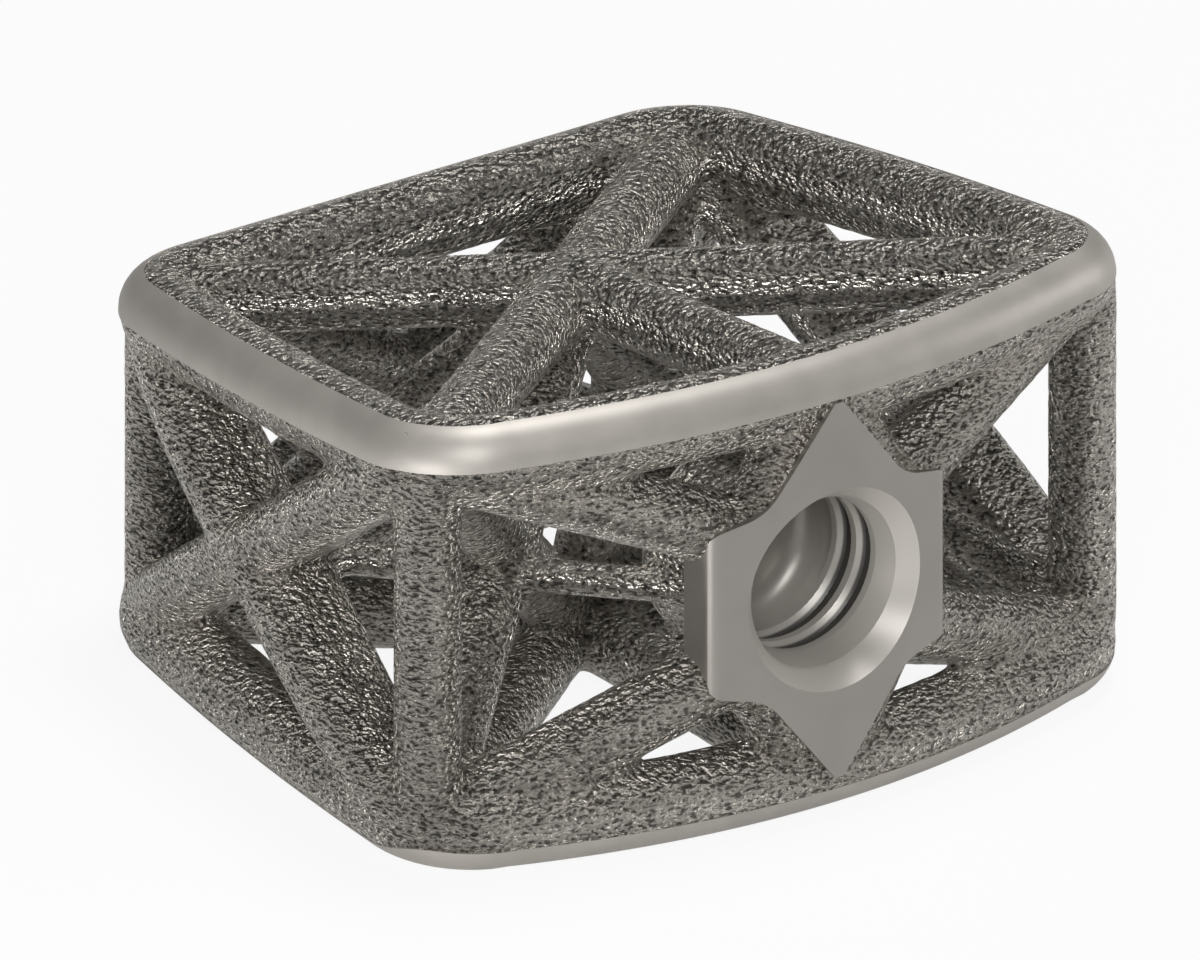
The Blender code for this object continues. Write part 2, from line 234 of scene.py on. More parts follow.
def cage_to_row():
    """From the cage's symmetric frame in mm to the row's frame in metres."""
    lean = Matrix.Rotation(-math.radians(HALF_LORDOSIS_DEG), 4, "X")
    lift = Matrix.Translation((0.0, SEAT_Y, SEAT_Z))
    return Matrix.Scale(MM, 4) @ lift @ lean


def ring_z(y):
    """Height of the upper ring's centre line above the mid-plane at depth y."""
    return RING_HALF_HEIGHT - y * math.tan(math.radians(HALF_LORDOSIS_DEG))


def rail_y(x):
    """Depth of the bowed front rail's centre line at lateral position x."""
    return FRONT_CORNER[1] - FRONT_BOW * (1.0 - (x / FRONT_CORNER[0]) ** 2)


def rounded(corner, first, second, radius, steps=CORNER_STEPS):
    """A corner's rounding, from the edge leaving along `first` to the one leaving along `second`."""
    first, second = first.normalized(), second.normalized()
    angle = first.angle(second)
    cut = radius / math.tan(angle / 2)
    centre = corner + (first + second).normalized() * (radius / math.sin(angle / 2))
    start = corner + first * cut - centre
    end = corner + second * cut - centre
    a0 = math.atan2(start.y, start.x)
    turn = (math.atan2(end.y, end.x) - a0 + math.pi) % (2 * math.pi) - math.pi
    angles = [a0 + turn * k / steps for k in range(steps + 1)]
    return [centre + radius * Vector((math.cos(a), math.sin(a))) for a in angles]


def ring_outline():
    """Centre line of a ring in plan: right half from front to rear, then its mirror image."""
    front, rear = Vector(FRONT_CORNER), Vector(REAR_CORNER)
    rail_slope = Vector((-1.0, -2 * FRONT_BOW / FRONT_CORNER[0]))
    front_arc = rounded(front, rail_slope, rear - front, FRONT_CORNER_R)
    rear_arc = rounded(rear, front - rear, Vector((-1.0, 0.0)), REAR_CORNER_R)
    half = []
    reach = front_arc[0].x
    for k in range(1, RAIL_STEPS):
        x = reach * k / RAIL_STEPS
        half.append(Vector((x, rail_y(x))))
    half += front_arc
    start, end = front_arc[-1], rear_arc[0]
    for k in range(1, SIDE_STEPS):
        t = k / SIDE_STEPS
        half.append(start.lerp(end, t) + Vector((SIDE_BOW * 4 * t * (1 - t), 0.0)))
    half += rear_arc
    mirror = [Vector((-p.x, p.y)) for p in reversed(half)]
    return [Vector((0.0, rail_y(0.0)))] + half + mirror


def ring_path(side):
    """The ring's centre line in the cage's frame; side is +1 for the upper ring."""
    lean = Matrix.Rotation(-side * math.radians(HALF_LORDOSIS_DEG), 4, "X")
    lift = Matrix.Translation((0.0, 0.0, side * RING_HALF_HEIGHT))
    return [lift @ lean @ Vector((p.x, p.y, 0.0)) for p in ring_outline()]


def corner_node(front, sx, sz):
    """Where a post's axis meets a ring's plane."""
    x, y = FRONT_POST if front else REAR_POST
    return Vector((sx * x, y, sz * ring_z(y)))


def hub_node(sz):
    return Vector((0.0, HUB_Y, sz * ring_z(HUB_Y)))


def drawn_in(start, end, at_start=0.0, at_end=STRUT_INSET):
    """A straight strut's two ends, drawn in a little so that they hide in what they join."""
    along = (end - start).normalized()
    return [start + along * at_start, end - along * at_end]


def plate_sag(x):
    """How far the curved face falls back at lateral position x."""
    return PLATE_FACE_R - math.sqrt(PLATE_FACE_R ** 2 - x ** 2)


# Settings.


def length(name, description, millimetres):
    return bpy.props.FloatProperty(
        name=name, description=description, default=millimetres * MM, min=0.0, precision=6, unit="LENGTH"
    )


def colour(name, description, value):
    return bpy.props.FloatVectorProperty(
        name=name, description=description, default=value, size=3, min=0.0, max=1.0, subtype="COLOR"
    )


def share(name, description, value):
    return bpy.props.FloatProperty(
        name=name, description=description, default=value, min=0.0, max=1.0, subtype="FACTOR"
    )


def radiance(name, description, value):
    return bpy.props.FloatProperty(name=name, description=description, default=value, min=0.0)


def angle(name, description, degrees):
    return bpy.props.FloatProperty(
        name=name, description=description, default=math.radians(degrees), subtype="ANGLE"
    )


class CageStrutSettings(bpy.types.PropertyGroup):
    """Sizes of the printed struts."""

    ring: length("Ring radius", "Radius of an end ring's round section", 0.785)
    post: length("Post radius", "Radius of the four corner posts", 0.62)
    arm: length("Arm radius", "Radius of the arms from a ring to its hub", 0.655)
    side_inner: length("Inner brace radius", "Radius of the straight braces in a side wall", 0.63)
    side_outer: length("Outer brace radius", "Radius of the bowed braces in a side wall", 0.655)
    rear: length("Rear brace radius", "Radius of the rear wall's crossed braces", 0.665)
    inner: length("Inner strut radius", "Radius of the struts through the inside", 0.64)
    tie: length("Tie radius", "Radius of the thin ties to the boss", 0.285)
    front: length("Front strut radius", "Radius of the struts from the corners to the boss", 0.69)
    star: length("Star edge radius", "Radius of the struts along the star's edges", 0.53)
    voxel: length("Skin cell", "Cell size of the skin that joins the struts", 0.088)
    blends: bpy.props.IntProperty(
        name="Blend passes", description="Softening passes that round the joints", default=22, min=0, max=60
    )
    relief: length("Skin relief", "Height of the printed skin's unevenness", 0.016)
    relief_size: length("Relief size", "Width of the skin's uneven patches", 0.30)


class CageRimSettings(bpy.types.PropertyGroup):
    """Sizes of the polished rims."""

    proud: length("Rise", "How far the polished band stands over the ring", 0.024)
    thickness: length("Thickness", "Thickness of the band, most of it inside the ring", 0.10)
    crown_angle: angle("Crown edge", "Angle from the outward side to the band's edge on the crown", 68.0)
    upper_edge_angle: angle("Upper outer edge", "Angle of the upper band's outer edge", -3.0)
    lower_edge_angle: angle("Lower front edge", "Angle of the lower band's outer edge in front", 14.0)
    side_edge_angle: angle("Lower side edge", "Angle of the lower band's outer edge elsewhere", 37.0)


class CageBossSettings(bpy.types.PropertyGroup):
    """Sizes of the star plate's edges."""

    arm_edge: length("Arm edge radius", "Rounding of the star plate's side edges", 0.32)


class CageFinishSettings(bpy.types.PropertyGroup):
    """Colours, painted shade, shine and texture of the titanium."""

    printed: colour("Printed titanium", "Colour of the as-printed skin", (0.54, 0.509, 0.461))
    # The crevice colour is painted shade in the skin's cracks; the random patches also lean towards it.
    painted_crack_shade: colour("Crevices", "Colour in the skin's low spots", (0.09, 0.084, 0.074))
    polished: colour("Polished rim", "Colour of the polished rims", (0.475, 0.448, 0.411))
    machined: colour("Machined face", "Colour of the star face", (0.345, 0.324, 0.299))
    bored: colour("Bored wall", "Colour of the hole's wall", (0.53, 0.504, 0.466))
    # The thread root colour is painted shade for the thread's root.
    thread_root_shade: colour("Thread root", "Colour of the thread's root", (0.085, 0.08, 0.074))
    printed_metal: share("Printed metal", "How metallic the as-printed skin shines", 0.90)
    rim_metal: share("Rim metal", "How metallic the rims shine", 0.55)
    face_metal: share("Face metal", "How metallic the star face shines", 0.88)
    bored_metal: share("Bored metal", "How metallic the hole's wall shines", 0.30)
    printed_roughness: share("Printed roughness", "Roughness of the as-printed skin", 0.30)
    polished_roughness: share("Polished roughness", "Roughness of the polished rims", 0.50)
    machined_roughness: share("Machined roughness", "Roughness of the star face and the hole", 0.36)
    wrinkle: length("Wrinkle size", "Width of the printed skin's fine wrinkles", 0.130)
    wrinkle_height: length("Wrinkle height", "Height of the fine wrinkles", 0.20)


class CageStageSettings(bpy.types.PropertyGroup):
    """Floor and lights."""

    floor: colour("Floor", "Colour of the floor", (0.70, 0.70, 0.70))
    world: radiance("Surround", "Brightness of the studio around the cage", 0.04)
    key: radiance("Key light", "Radiance of the key light's soft box", 10.5)
    card: radiance("Low card", "Radiance of the low card at the left", 10.0)
    top: radiance("Top light", "Radiance of the soft box above", 23.0)
    side: radiance("Side light", "Radiance of the soft box on the right", 5.5)


# Node trees.


class Graph:
    """A node tree, with one method that adds any node."""

    def __init__(self, tree):
        self.tree = tree
        tree.nodes.clear()

    def add(self, kind, settings=None, inputs=None):
        """Adds a node: first its settings, then values or links by socket name, identifier or place."""
        node = self.tree.nodes.new(kind)
        for name, value in (settings or {}).items():
            setattr(node, name, value)
        for key, value in (inputs or {}).items():
            socket = self.input_of(node, key)
            value = value.socket if isinstance(value, Num) else value
            if isinstance(value, bpy.types.NodeSocket):
                self.tree.links.new(value, socket)
            else:
                socket.default_value = value
        return node

    @staticmethod
    def input_of(node, key):
        if isinstance(key, int):
            return node.inputs[key]
        for socket in node.inputs:
            if socket.identifier == key:
                return socket
        for socket in node.inputs:
            if socket.name == key and socket.enabled:
                return socket
        raise KeyError(f"{node.bl_idname} has no input {key}")

    def num(self, node, output=0):
        return Num(self, node.outputs[output])


class Num:
    """A value on a socket; Python's arithmetic on it adds the Math nodes."""

    def __init__(self, graph, socket):
        self.graph = graph
        self.socket = socket

    def math(self, operation, *values):
        node = self.graph.add("ShaderNodeMath", {"operation": operation}, dict(enumerate(values)))
        return Num(self.graph, node.outputs[0])

    def __add__(self, other):
        return self.math("ADD", self, other)

    def __radd__(self, other):
        return self.math("ADD", other, self)

    def __sub__(self, other):
        return self.math("SUBTRACT", self, other)

    def __rsub__(self, other):
        return self.math("SUBTRACT", other, self)

    def __mul__(self, other):
        return self.math("MULTIPLY", self, other)

    def __rmul__(self, other):
        return self.math("MULTIPLY", other, self)

    def __pow__(self, other):
        return self.math("POWER", self, other)

    def __abs__(self):
        return self.math("ABSOLUTE", self)

    def ramp(self, low, high):
        """0 below low, 1 above high, smooth between."""
        node = self.graph.add(
            "ShaderNodeMapRange",
            {"interpolation_type": "SMOOTHSTEP"},
            {"Value": self, "From Min": low, "From Max": high},
        )
        return Num(self.graph, node.outputs[0])


def new_material(name, shown):
    mat = bpy.data.materials.new(name)
    mat.use_nodes = True
    mat.diffuse_color = (*shown, 1.0)
    graph = Graph(mat.node_tree)
    coords = graph.add("ShaderNodeTexCoord").outputs["Object"]
    return mat, graph, coords


def noise(graph, coords, size, detail=2.0, distortion=0.0):
    """Noise from 0 to 1 whose patches are about `size` metres wide."""
    node = graph.add(
        "ShaderNodeTexNoise",
        {"noise_dimensions": "3D", "normalize": True},
        {"Vector": coords, "Scale": 1.0 / size, "Detail": detail, "Distortion": distortion},
    )
    return graph.num(node, "Fac")


def colour_mix(graph, factor, low, high):
    node = graph.add(
        "ShaderNodeMix",
        {"data_type": "RGBA"},
        {"Factor_Float": factor, "A_Color": (*low, 1.0), "B_Color": (*high, 1.0)},
    )
    return next(socket for socket in node.outputs if socket.identifier == "Result_Color")


def finish_material(mat, graph, base, metal, roughness, height, distance, strength):
    """Joins colour, roughness and a bump height on a metal shader."""
    bump = graph.add("ShaderNodeBump", None, {"Strength": strength, "Distance": distance, "Height": height})
    shader = graph.add(
        "ShaderNodeBsdfPrincipled",
        None,
        {"Base Color": base, "Metallic": metal, "Roughness": roughness, "Normal": bump.outputs[0]},
    )
    graph.add("ShaderNodeOutputMaterial", None, {"Surface": shader.outputs[0]})
    return mat


def printed_titanium(finish):
    """As-printed skin: low scales with painted shade in the cracks between, flatter along Z and deeper on
    steep faces, which also get more painted crack shade.
    """
    mat, graph, coords = new_material("printed_titanium_skin", finish.printed)
    layered = graph.add("ShaderNodeVectorMath", {"operation": "MULTIPLY"}, {0: coords, 1: SCALE_STRETCH})
    wide = noise(graph, layered.outputs[0], finish.wrinkle, 1.0, SCALE_DISTORTION)
    fine = noise(graph, layered.outputs[0], finish.wrinkle * FINE_RATIO, 1.0)
    patches = noise(graph, coords, finish.wrinkle * PATCH_RATIO)
    facing = graph.add("ShaderNodeSeparateXYZ", None, {"Vector": coords.node.outputs["Normal"]})
    steep = 1.0 - abs(graph.num(facing, 2)).ramp(*LEVEL_FACE)
    height = (wide * SCALE_HEIGHT + fine * FINE_HEIGHT) * (1.0 + steep * STEEP_RELIEF)
    # Painted shade in the cracks where the noise is low, with more of it on steep faces.
    scales = (wide - steep * STEEP_CRACK_SHADE).ramp(*CRACK_SHADE_RAMP)
    tone = scales * CRACK_SHADE_SHARE + patches.ramp(*PATCH_RAMP) * (1.0 - CRACK_SHADE_SHARE)
    base = colour_mix(graph, tone, finish.painted_crack_shade, finish.printed)
    roughness = finish.printed_roughness + CRACK_ROUGHNESS - tone * SCALE_SMOOTHNESS
    depth = finish.wrinkle_height
    return finish_material(mat, graph, base, finish.printed_metal, roughness, height, depth, 1.0)


def polished_titanium(finish):
    """Tumbled rim: smooth, with a very faint cloudiness."""
    mat, graph, coords = new_material("polished_titanium_rim", finish.polished)
    cloud = noise(graph, coords, RIM_CLOUD * MM, 3.0)
    grain = noise(graph, coords, RIM_GRAIN * MM)
    darker = [c * RIM_CLOUD_SHADE for c in finish.polished]
    base = colour_mix(graph, cloud.ramp(*CLOUD_RAMP), darker, finish.polished)
    roughness = finish.polished_roughness - 0.03 + cloud * 0.06 + grain * 0.03
    return finish_material(mat, graph, base, finish.rim_metal, roughness, grain, GRAIN_HEIGHT * MM, 0.6)


def machined_titanium(finish):
    """Machined star face: even satin with a faint grain."""
    mat, graph, coords = new_material("machined_titanium_face", finish.machined)
    cloud = noise(graph, coords, FACE_CLOUD * MM)
    darker = [c * FACE_CLOUD_SHADE for c in finish.machined]
    base = colour_mix(graph, cloud.ramp(*CLOUD_RAMP), darker, finish.machined)
    return satin_finish(mat, graph, coords, base, finish.face_metal, finish.machined_roughness)


def bored_titanium(finish):
    """Cut wall of the hole: paler than the face, with painted shade in the thread roots."""
    mat, graph, coords = new_material("machined_titanium_bore", finish.bored)
    radius, depth = hole_place(graph, coords)
    # root is the mask of painted shade in the thread's root.
    root = within(radius, GROOVE_SHADE_R) * within(depth, GROOVE_SHADE_DEPTH)
    base = colour_mix(graph, root, finish.bored, finish.thread_root_shade)
    return satin_finish(mat, graph, coords, base, finish.bored_metal, finish.machined_roughness)


def within(value, stops):
    """1 between the two middle stops, in mm, falling to 0 at the outer ones."""
    rise, full, ease, end = (stop * MM for stop in stops)
    return value.ramp(rise, full) * (1.0 - value.ramp(ease, end))


def hole_place(graph, coords):
    """Distance from the hole's axis, and depth behind the plate's face, in metres."""
    centre = (0.0, SEAT_Y * MM, SEAT_Z * MM)
    upright = graph.add(
        "ShaderNodeVectorRotate",
        {"rotation_type": "X_AXIS"},
        {"Vector": coords, "Center": centre, "Angle": math.radians(HALF_LORDOSIS_DEG)},
    )
    axes = graph.add("ShaderNodeSeparateXYZ", None, {"Vector": upright.outputs[0]})
    x, y, z = (graph.num(axes, k) for k in range(3))
    up = z - SEAT_Z * MM
    return (x * x + up * up) ** 0.5, y - (SEAT_Y + PLATE_FACE_Y) * MM


def satin_finish(mat, graph, coords, base, metal, mean_roughness):
    grain = noise(graph, coords, FACE_GRAIN * MM)
    roughness = mean_roughness - 0.02 + grain * 0.04
    return finish_material(mat, graph, base, metal, roughness, grain, GRAIN_HEIGHT * MM, 0.5)


MATERIAL_MAKERS = {
    "printed_titanium_skin": printed_titanium,
    "polished_titanium_rim": polished_titanium,
    "machined_titanium_face": machined_titanium,
    "machined_titanium_bore": bored_titanium,
}


def material(name):
    """The named material, made the first time that it is asked for."""
    found = bpy.data.materials.get(name)
    if found is None:
        found = MATERIAL_MAKERS[name](bpy.context.scene.cage_finish)
    return found


def input_socket(tree, name, kind, default=None):
    socket = tree.interface.new_socket(name=name, in_out="INPUT", socket_type=kind)
    if default is not None:
        socket.default_value = default
    return socket


def geometry_tree(name):
    """An empty geometry tree with its two geometry sockets."""
    tree = bpy.data.node_groups.new(name, "GeometryNodeTree")
    graph = Graph(tree)
    input_socket(tree, "Geometry", "NodeSocketGeometry")
    tree.interface.new_socket(name="Geometry", in_out="OUTPUT", socket_type="NodeSocketGeometry")
    return tree, graph


def end_tree(graph, geometry, mat_socket):
    real = graph.add("GeometryNodeRealizeInstances", None, {"Geometry": geometry})
    inputs = {"Geometry": real.outputs[0], "Material": mat_socket}
    dressed = graph.add("GeometryNodeSetMaterial", None, inputs)
    graph.add("NodeGroupOutput", None, {"Geometry": dressed.outputs[0]})


def strut_tree():
    """Round struts along the edges of a mesh, each with its own radius."""
    name = "struts_along_lines"
    found = bpy.data.node_groups.get(name)
    if found is not None:
        return found
    tree, graph = geometry_tree(name)
    input_socket(tree, "Section Sides", "NodeSocketInt", STRUT_SIDES)
    input_socket(tree, "Radius Scale", "NodeSocketFloat", 1.0)
    input_socket(tree, "Finish", "NodeSocketMaterial")
    group_in = graph.add("NodeGroupInput")
    radius = graph.add("GeometryNodeInputNamedAttribute", {"data_type": "FLOAT"}, {"Name": "strut_radius"})
    curve = graph.add("GeometryNodeMeshToCurve", None, {"Mesh": group_in.outputs["Geometry"]})
    section = graph.add(
        "GeometryNodeCurvePrimitiveCircle",
        {"mode": "RADIUS"},
        {"Resolution": group_in.outputs["Section Sides"], "Radius": group_in.outputs["Radius Scale"]},
    )
    tubes = graph.add(
        "GeometryNodeCurveToMesh",
        None,
        {
            "Curve": curve.outputs[0],
            "Profile Curve": section.outputs[0],
            "Scale": radius.outputs[0],
            "Fill Caps": True,
        },
    )
    end_tree(graph, tubes.outputs[0], group_in.outputs["Finish"])
    return tree


def relief_tree():
    """Lifts and lowers a skin along its normals by a soft noise."""
    name = "printed_skin_relief"
    found = bpy.data.node_groups.get(name)
    if found is not None:
        return found
    tree, graph = geometry_tree(name)
    input_socket(tree, "Height", "NodeSocketFloat", 0.01)
    input_socket(tree, "Patch Size", "NodeSocketFloat", 0.3)
    input_socket(tree, "Seed", "NodeSocketFloat", RELIEF_SEED)
    input_socket(tree, "Finish", "NodeSocketMaterial")
    group_in = graph.add("NodeGroupInput")
    frequency = Num(graph, group_in.outputs["Patch Size"]) ** -1.0
    spot = graph.add(
        "ShaderNodeTexNoise",
        {"noise_dimensions": "4D", "normalize": True},
        {"Scale": frequency, "Detail": 1.0, "W": group_in.outputs["Seed"]},
    )
    lift = (graph.num(spot, "Fac") * 2.0 - RELIEF_SINK) * Num(graph, group_in.outputs["Height"])
    normal = graph.add("GeometryNodeInputNormal")
    offset = graph.add(
        "ShaderNodeVectorMath", {"operation": "SCALE"}, {"Vector": normal.outputs["Normal"], "Scale": lift}
    )
    moved = graph.add(
        "GeometryNodeSetPosition",
        None,
        {"Geometry": group_in.outputs["Geometry"], "Offset": offset.outputs[0]},
    )
    end_tree(graph, moved.outputs[0], group_in.outputs["Finish"])
    return tree


def run_tree(obj, tree, values):
    """Adds a geometry tree to an object with its named inputs set."""
    mod = obj.modifiers.new(tree.name, "NODES")
    mod.node_group = tree
    by_name = {s.name: s.identifier for s in tree.interface.items_tree if s.in_out == "INPUT"}
    for name, value in values.items():
        mod[by_name[name]] = value


# Meshes.


def scratch(name, mesh):
    obj = bpy.data.objects.new(name, mesh)
    bpy.context.scene.collection.objects.link(obj)
    return obj


def evaluated_mesh(obj):
    """The object's mesh with its modifiers applied; the object itself is removed."""
    bpy.context.view_layer.update()
    depsgraph = bpy.context.evaluated_depsgraph_get()
    mesh = bpy.data.meshes.new_from_object(obj.evaluated_get(depsgraph))
    old = obj.data
    bpy.data.objects.remove(obj, do_unlink=True)
    bpy.data.meshes.remove(old)
    return mesh


def mesh_of(name, bm):
    mesh = bpy.data.meshes.new(name)
    bm.to_mesh(mesh)
    bm.free()
    return mesh


def line_mesh(name, lines):
    """Edges along each line, with the radius of its strut on every point."""
    points, edges, radii = [], [], []
    for path, radius, closed in lines:
        first = len(points)
        points += [tuple(p) for p in path]
        radii += [radius] * len(path)
        edges += [(first + k, first + k + 1) for k in range(len(path) - 1)]
        if closed:
            edges.append((first + len(path) - 1, first))
    mesh = bpy.data.meshes.new(name)
    mesh.from_pydata(points, edges, [])
    attribute = mesh.attributes.new("strut_radius", "FLOAT", "POINT")
    attribute.data.foreach_set("value", radii)
    return mesh


def joined(name, meshes):
    bm = bmesh.new()
    for mesh in meshes:
        bm.from_mesh(mesh)
        bpy.data.meshes.remove(mesh)
    return mesh_of(name, bm)


def place_piece(name, mesh, mat, sharp_deg):
    """Bakes the piece into the row's frame and binds it to the cage."""
    mesh.transform(cage_to_row())
    mesh.materials.clear()
    mesh.materials.append(mat)
    mesh.polygons.foreach_set("material_index", [0] * len(mesh.polygons))
    mesh.polygons.foreach_set("use_smooth", [True] * len(mesh.polygons))
    mesh.set_sharp_from_angle(angle=math.radians(sharp_deg))
    mesh.name = name
    mesh.update()
    obj = scratch(name, mesh)
    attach(obj, BODY)
    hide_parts(NODE)


def filled_out(radius, sizes):
    """A strut's radius before the softening passes, which draw it in."""
    cell = sizes.voxel / MM
    return math.sqrt((radius / MM) ** 2 + SMOOTH_FACTOR * cell ** 2 * sizes.blends / 2)


def printed_skin(name, lines, solids, cutter, sizes):
    """One printed skin over struts along lines and over solids, with the hole cut out."""
    skin = material("printed_titanium_skin")
    struts = scratch(name + "_lines", line_mesh(name + "_lines", lines))
    run_tree(struts, strut_tree(), {"Section Sides": STRUT_SIDES, "Radius Scale": 1.0, "Finish": skin})
    body = scratch(name + "_body", joined(name + "_body", [evaluated_mesh(struts), *solids]))
    remesh = body.modifiers.new("skin", "REMESH")
    remesh.mode = "VOXEL"
    remesh.voxel_size = sizes.voxel / MM
    smooth = body.modifiers.new("soften", "SMOOTH")
    smooth.factor = SMOOTH_FACTOR
    smooth.iterations = sizes.blends
    relief = {"Height": sizes.relief / MM, "Patch Size": sizes.relief_size / MM}
    run_tree(body, relief_tree(), {**relief, "Seed": RELIEF_SEED, "Finish": skin})
    combine(body, "DIFFERENCE", cutter)
    return evaluated_mesh(body)


def combine(obj, operation, operand):
    """Adds an exact Boolean with another object."""
    mod = obj.modifiers.new(operand.name, "BOOLEAN")
    mod.operation = operation
    mod.solver = "EXACT"
    mod.object = operand


def quarter_of(name, mesh, side, above):
    """The quarter of a closed skin on one side of both split planes, closed again at each."""
    bm = bmesh.new()
    bm.from_mesh(mesh)
    for facing in ((side, 0.0, 0.0), (0.0, 0.0, above)):
        cut = bmesh.ops.bisect_plane(
            bm,
            geom=bm.verts[:] + bm.edges[:] + bm.faces[:],
            dist=SPLIT_TOLERANCE,
            plane_co=(SPLIT_X, 0.0, SPLIT_Z),
            plane_no=facing,
            clear_inner=True,
        )
        edges = [e for e in cut["geom_cut"] if isinstance(e, bmesh.types.BMEdge)]
        open_edges = [e for e in edges if e.is_valid and e.is_boundary]
        bmesh.ops.holes_fill(bm, edges=open_edges, sides=0)
    return mesh_of(name, bm)


def turned_mesh(name, profile, sides):
    """A closed solid of revolution about Y, from rows of (radius, y); ends on the axis."""
    bm = bmesh.new()
    rings = []
    for radius, y in profile:
        if radius == 0.0:
            rings.append([bm.verts.new((0.0, y, 0.0))])
            continue
        angles = [2 * math.pi * k / sides for k in range(sides)]
        rings.append([bm.verts.new((radius * math.cos(a), y, radius * math.sin(a))) for a in angles])
    bridge(bm, rings)
    bmesh.ops.recalc_face_normals(bm, faces=bm.faces)
    return mesh_of(name, bm)


def bridge(bm, rings):
    """Faces between each ring of points and the next; a ring of one point is a pole."""
    for a, b in zip(rings, rings[1:]):
        n = max(len(a), len(b))
        for k in range(n):
            corners = [a[k % len(a)], a[(k + 1) % n % len(a)], b[(k + 1) % n % len(b)], b[k % len(b)]]
            corners = [v for i, v in enumerate(corners) if v not in corners[:i]]
            bm.faces.new(corners)


# Struts and boss.


def strut(path, radius, sizes, closed=False):
    """A strut as its path, its radius before softening, and whether the path closes."""
    return path, filled_out(radius, sizes), closed


def end_frame_lines(sz, sizes):
    """One end ring with its five arms to the hub."""
    hub = hub_node(sz)
    lines = [strut(ring_path(sz), sizes.ring, sizes, True)]
    for front in (True, False):
        for sx in (-1, 1):
            arm = drawn_in(hub, corner_node(front, sx, sz), 0.0, -ARM_REACH)
            lines.append(strut(arm, sizes.arm, sizes))
    mid_y = rail_y(0.0)
    lines.append(strut([hub, Vector((0.0, mid_y, sz * ring_z(mid_y)))], sizes.arm, sizes))
    return lines


def bowed_brace(rear, front, sx):
    """A brace between two nodes that swings outwards soon after each end."""
    points = []
    for k in range(SIDE_OUTER_STEPS + 1):
        t = BRACE_END_SHARE + (1 - 2 * BRACE_END_SHARE) * k / SIDE_OUTER_STEPS
        out = SIDE_OUTER_BOW * (1.0 - (2 * t - 1) ** 4)
        points.append(rear.lerp(front, t) + Vector((sx * out, 0.0, 0.0)))
    return points


def side_wall_lines(sx, sizes):
    lines = []
    for front in (True, False):
        post = drawn_in(corner_node(front, sx, -1), corner_node(front, sx, 1), POST_INSET, POST_INSET)
        lines.append(strut(post, sizes.post, sizes))
    for sz in (1, -1):
        rear, front = corner_node(False, sx, sz), corner_node(True, sx, -sz)
        lines.append(strut(drawn_in(rear, front, STRUT_INSET), sizes.side_inner, sizes))
        lines.append(strut(bowed_brace(rear, front, sx), sizes.side_outer, sizes))
    return lines


def rear_wall_lines(sizes):
    outset = Vector((0.0, REAR_BRACE_OUTSET, 0.0))
    lines = []
    for sx in (-1, 1):
        top, bottom = corner_node(False, sx, 1) + outset, corner_node(False, -sx, -1) + outset
        lines.append(strut(drawn_in(top, bottom, REAR_BRACE_INSET), sizes.rear, sizes))
    return lines


def side_crossing(sx):
    """Where the straight braces of a side wall cross, at the tie's height."""
    rear, front = corner_node(False, sx, 1), corner_node(True, sx, -1)
    point = rear.lerp(front, rear.z / (rear.z - front.z))
    return Vector((point.x, point.y, TIE_Z))


def inner_lines(sizes):
    lines = []
    for sz in (1, -1):
        for sx in (-1, 1):
            for front in (True, False):
                lines.append(strut(drawn_in(hub_node(sz), corner_node(front, sx, -sz)), sizes.inner, sizes))
    for sx in (-1, 1):
        end = Vector((sx * TIE_END[0], TIE_END[1], TIE_Z))
        lines.append(strut([side_crossing(sx), end], sizes.tie, sizes))
    return lines


def mirrored(point, sx, sz):
    return Vector((sx * point[0], point[1], sz * point[2]))


def front_lines(sizes):
    lines = []
    for sz in (1, -1):
        for sx in (-1, 1):
            end = mirrored(FRONT_STRUT_END, sx, sz)
            lines.append(strut(drawn_in(end, corner_node(True, sx, sz)), sizes.front, sizes))
            edge = [mirrored(STAR_STRUT_TOP, sx, sz), mirrored(STAR_STRUT_END, sx, sz)]
            lines.append(strut(edge, sizes.star, sizes))
    return lines


def boss_block_mesh():
    """The block behind the plate, tapering from the plate's side arms to the round body."""
    front_y = PLATE_FACE_Y + plate_sag(ARM[0]) + PLATE_DEPTH - BLOCK_OVERLAP
    back_y = PLATE_FACE_Y + BLOCK_BACK_DEPTH
    half_x, half_z = ARM[0] - BLOCK_MARGIN, ARM[1] - BLOCK_MARGIN
    bm = bmesh.new()
    rows = []
    for y, k in ((front_y, 1.0), (back_y, BLOCK_BACK_RATIO)):
        corners = ((-1, -1), (1, -1), (1, 1), (-1, 1))
        rows.append([bm.verts.new((half_x * k * sx, y, half_z * k * sz)) for sx, sz in corners])
    bridge(bm, rows)
    for row in rows:
        bm.faces.new(row)
    bmesh.ops.recalc_face_normals(bm, faces=bm.faces)
    return mesh_of("boss_block", bm)


def boss_body_mesh():
    front_y = PLATE_FACE_Y + PLATE_DEPTH / 2
    back_y = PLATE_FACE_Y + BODY_DEPTH
    profile = [
        (0.0, front_y),
        (BODY_R, front_y),
        (BODY_R, back_y - BODY_CHAMFER),
        (BODY_R - BODY_CHAMFER, back_y),
        (0.0, back_y),
    ]
    return turned_mesh("boss_body", profile, BODY_SIDES)


def strut_end_mesh(sx, sz, radius):
    """A ball that rounds a front strut's end at the boss."""
    bm = bmesh.new()
    place = Matrix.Translation(mirrored(FRONT_STRUT_END, sx, sz))
    bmesh.ops.create_icosphere(bm, subdivisions=BALL_SUBDIVISIONS, radius=radius, matrix=place)
    return mesh_of("strut_end", bm)


# Polished rims.


